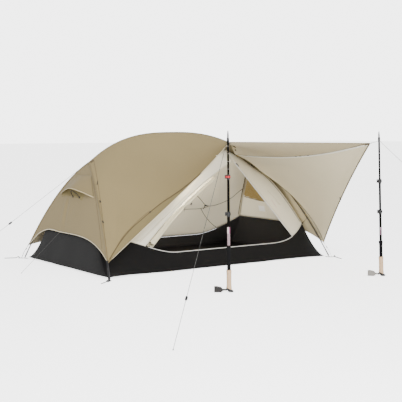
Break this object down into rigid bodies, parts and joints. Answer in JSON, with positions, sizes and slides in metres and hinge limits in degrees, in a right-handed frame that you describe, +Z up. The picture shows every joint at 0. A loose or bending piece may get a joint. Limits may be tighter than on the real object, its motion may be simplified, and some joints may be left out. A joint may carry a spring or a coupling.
{
  "type": "ultralight tent",
  "caption": "Pitched ultralight tent: arched pole frame, inner tent in a flysheet, its front door panel raised as an awning on trekking poles.",
  "frame": {"origin": "on the ground under the middle of the tent floor", "axes": "+X along the long side, +Y away from the open front door, +Z up"},
  "size_m": [2.9549, 4.147, 1.0645],
  "materials": {
    "fly_fabric": "matt coated ripstop cloth",
    "awning_fabric": "matt coated ripstop cloth, pale inner side",
    "inner_fabric": "matt uncoated cloth and mesh",
    "floor_fabric": "satin waterproof coated cloth",
    "alloy": "anodised dark grey",
    "carbon_tube": "satin black tube",
    "black_plastic": "matt moulded",
    "cork": "fine cork",
    "foam": "matt closed cell foam",
    "webbing": "woven webbing",
    "cord": "braided cord"
  },
  "bodies": {
    "tent": {"awning_panel": "awning_fabric", "corner_strap_back_left": "webbing", "corner_strap_back_right": "webbing", "corner_strap_front_left": "webbing", "corner_strap_front_right": "webbing", "floor_tub": "floor_fabric", "fly_back_panel": "fly_fabric", "fly_front_left_panel": "fly_fabric", "fly_front_right_strip": "fly_fabric", "fly_left_end_panel": "fly_fabric", "fly_right_end_panel": "fly_fabric", "ground_peg_back": "alloy", "ground_peg_back_left": "alloy", "ground_peg_back_right": "alloy", "ground_peg_front_left": "alloy", "ground_peg_front_right": "alloy", "guyline_left": "cord", "guyline_left_hem": "cord", "guyline_pole_1": "cord", "guyline_pole_2": "cord", "hub_left": "black_plastic", "hub_right": "black_plastic", "inner_back_panel": "inner_fabric", "inner_door_flap": "inner_fabric", "inner_front_left_panel": "inner_fabric", "inner_front_right_panel": "inner_fabric", "inner_left_end_panel": "inner_fabric", "inner_right_end_panel": "inner_fabric", "leg_back_left": "alloy", "leg_back_right": "alloy", "leg_front_left": "alloy", "leg_front_right": "alloy", "ridge_pole_left_section": "alloy", "ridge_pole_middle_section": "alloy", "ridge_pole_right_section": "alloy", "trekking_pole_1_tip_section": "carbon_tube", "trekking_pole_2_tip_section": "carbon_tube", "tub_corner_clip_back_left": "black_plastic", "tub_corner_clip_back_right": "black_plastic", "tub_corner_clip_front_left": "black_plastic", "tub_corner_clip_front_right": "black_plastic", "vent_hood": "fly_fabric"},
    "pole_1_middle": {"trekking_pole_1_middle_section": "carbon_tube"},
    "pole_1_middle_lever": {"trekking_pole_1_middle_lever": "black_plastic"},
    "pole_1_upper": {"trekking_pole_1_upper_section": "carbon_tube", "trekking_pole_1_foam_grip": "foam", "trekking_pole_1_cork_grip": "cork", "trekking_pole_1_wrist_strap": "webbing"},
    "pole_1_upper_lever": {"trekking_pole_1_upper_lever": "black_plastic"},
    "pole_2_middle": {"trekking_pole_2_middle_section": "carbon_tube"},
    "pole_2_middle_lever": {"trekking_pole_2_middle_lever": "black_plastic"},
    "pole_2_upper": {"trekking_pole_2_upper_section": "carbon_tube", "trekking_pole_2_foam_grip": "foam", "trekking_pole_2_cork_grip": "cork", "trekking_pole_2_wrist_strap": "webbing"},
    "pole_2_upper_lever": {"trekking_pole_2_upper_lever": "black_plastic"},
    "vent_strut": {"vent_strut": "black_plastic"},
    "zip_slider": {"inner_door_zip_slider": "black_plastic"},
    "tensioner_left": {"tensioner_left": "black_plastic"},
    "tensioner_pole_1": {"tensioner_pole_1": "black_plastic"}
  },
  "joints": [
    {"name": "pole_1_middle_slide", "type": "slide", "parent": "tent", "child": "pole_1_middle", "axis": [-0.0122, 0, 0.9999], "range_m": [0, 0.165]},
    {"name": "pole_1_upper_slide", "type": "slide", "parent": "pole_1_middle", "child": "pole_1_upper", "axis": [-0.0122, 0, 0.9999], "range_m": [0, 0.2]},
    {"name": "pole_1_middle_lever_hinge", "type": "hinge", "parent": "pole_1_middle", "child": "pole_1_middle_lever", "pos_m": [-0.66979, -1.55097, 0.76335], "axis": [0.0122, 0, -0.9999], "range_deg": [0, 110]},
    {"name": "pole_1_upper_lever_hinge", "type": "hinge", "parent": "pole_1_upper", "child": "pole_1_upper_lever", "pos_m": [-0.66681, -1.55097, 0.51937], "axis": [0.0122, 0, -0.9999], "range_deg": [0, 110]},
    {"name": "pole_2_middle_slide", "type": "slide", "parent": "tent", "child": "pole_2_middle", "axis": [-0.0453, 0, 0.999], "range_m": [0, 0.23]},
    {"name": "pole_2_upper_slide", "type": "slide", "parent": "pole_2_middle", "child": "pole_2_upper", "axis": [-0.0453, 0, 0.999], "range_m": [0, 0.19]},
    {"name": "pole_2_middle_lever_hinge", "type": "hinge", "parent": "pole_2_middle", "child": "pole_2_middle_lever", "pos_m": [0.62287, -1.66697, 0.69878], "axis": [0.0453, 0, -0.999], "range_deg": [0, 110]},
    {"name": "pole_2_upper_lever_hinge", "type": "hinge", "parent": "pole_2_upper", "child": "pole_2_upper_lever", "pos_m": [0.63297, -1.66697, 0.47601], "axis": [0.0453, 0, -0.999], "range_deg": [0, 110]},
    {"name": "vent_strut_hinge", "type": "hinge", "parent": "tent", "child": "vent_strut", "pos_m": [-0.948, 0, 0.55], "axis": [0, -1, 0], "range_deg": [0, 110]},
    {"name": "inner_door_zip_slide", "type": "slide", "parent": "tent", "child": "zip_slider", "axis": [0.3761, -0.514, -0.771], "range_m": [0, 0.69]},
    {"name": "tensioner_left_slide", "type": "slide", "parent": "tent", "child": "tensioner_left", "axis": [-0.8332, 0, -0.553], "range_m": [-0.12, 0.12]},
    {"name": "tensioner_pole_1_slide", "type": "slide", "parent": "tent", "child": "tensioner_pole_1", "axis": [-0.6182, -0.5938, -0.5151], "range_m": [-0.12, 0.12]}
  ]
}
